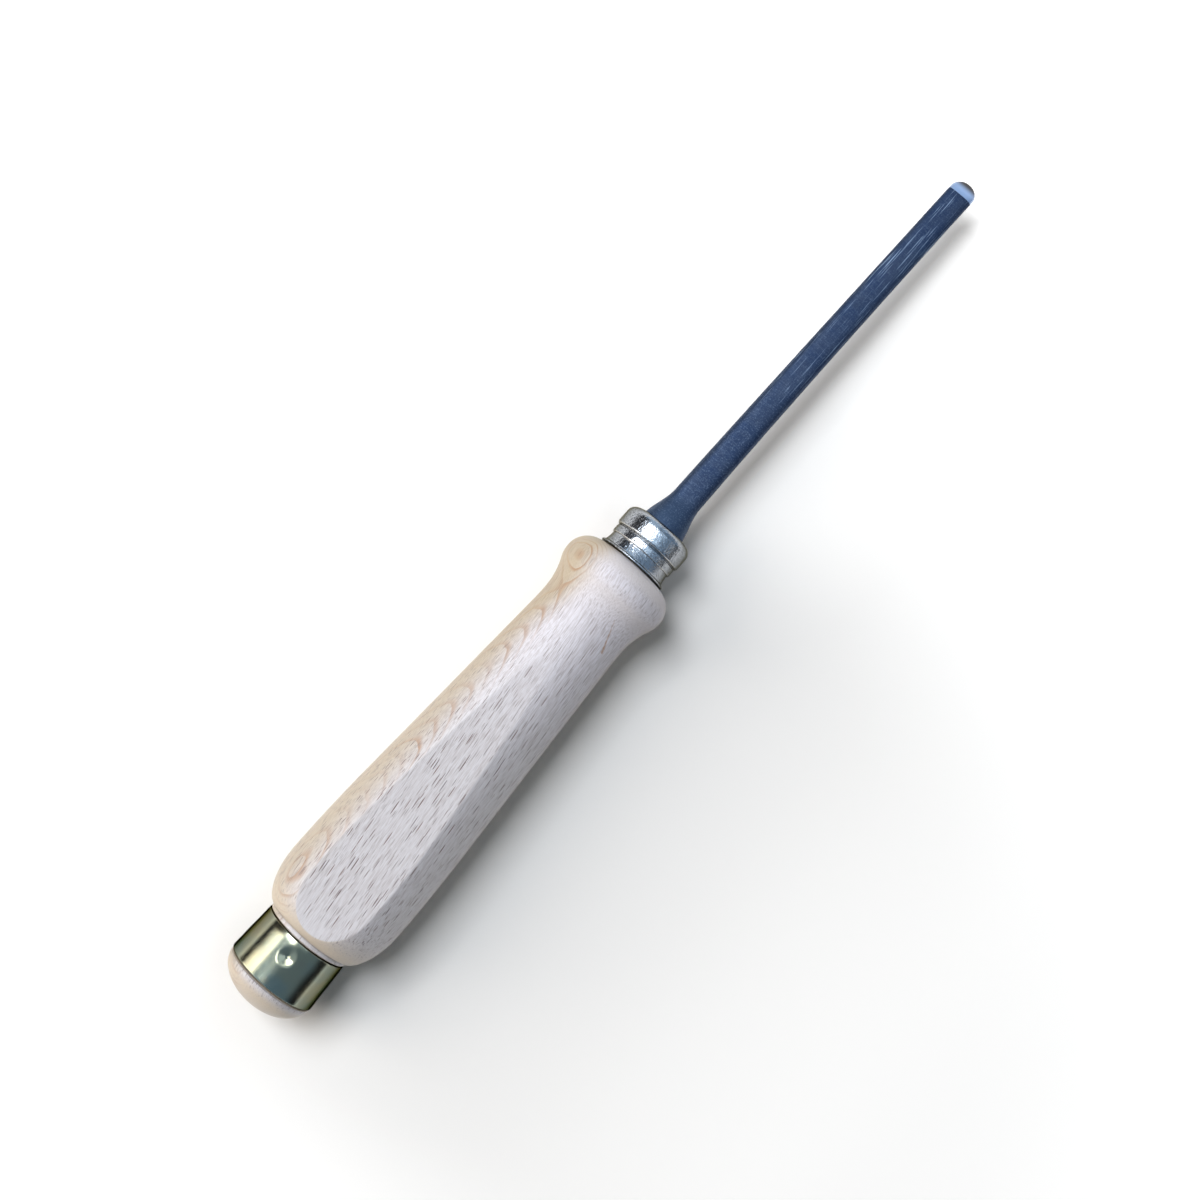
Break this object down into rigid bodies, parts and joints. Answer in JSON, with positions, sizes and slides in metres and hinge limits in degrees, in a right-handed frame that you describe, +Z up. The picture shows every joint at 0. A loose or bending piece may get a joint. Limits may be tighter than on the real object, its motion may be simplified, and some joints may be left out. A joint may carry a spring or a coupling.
{
  "type": "carving chisel",
  "caption": "Slim carving chisel: waisted beech handle with opposed flats, hooped butt, stepped ferrule and a narrow blued blade ground to a round nose.",
  "frame": {"origin": "centre of the part's footprint, on the bench that it lies on", "axes": "+X along the tool towards the cutting edge, +Z up, out of the bevel side and the upper flat"},
  "size_m": [0.2564, 0.0318, 0.0285],
  "materials": {
    "beech": "turned and waxed beech with ray flecks",
    "yellow_zinc": "yellow-passivated zinc plate",
    "nickel": "bright nickel plate",
    "blued_steel": "blued and rubbed, with a polished nose"
  },
  "bodies": {
    "root": {"handle": "beech", "rear_hoop": "yellow_zinc", "front_ferrule": "nickel", "blade": "blued_steel"}
  },
  "joints": []
}
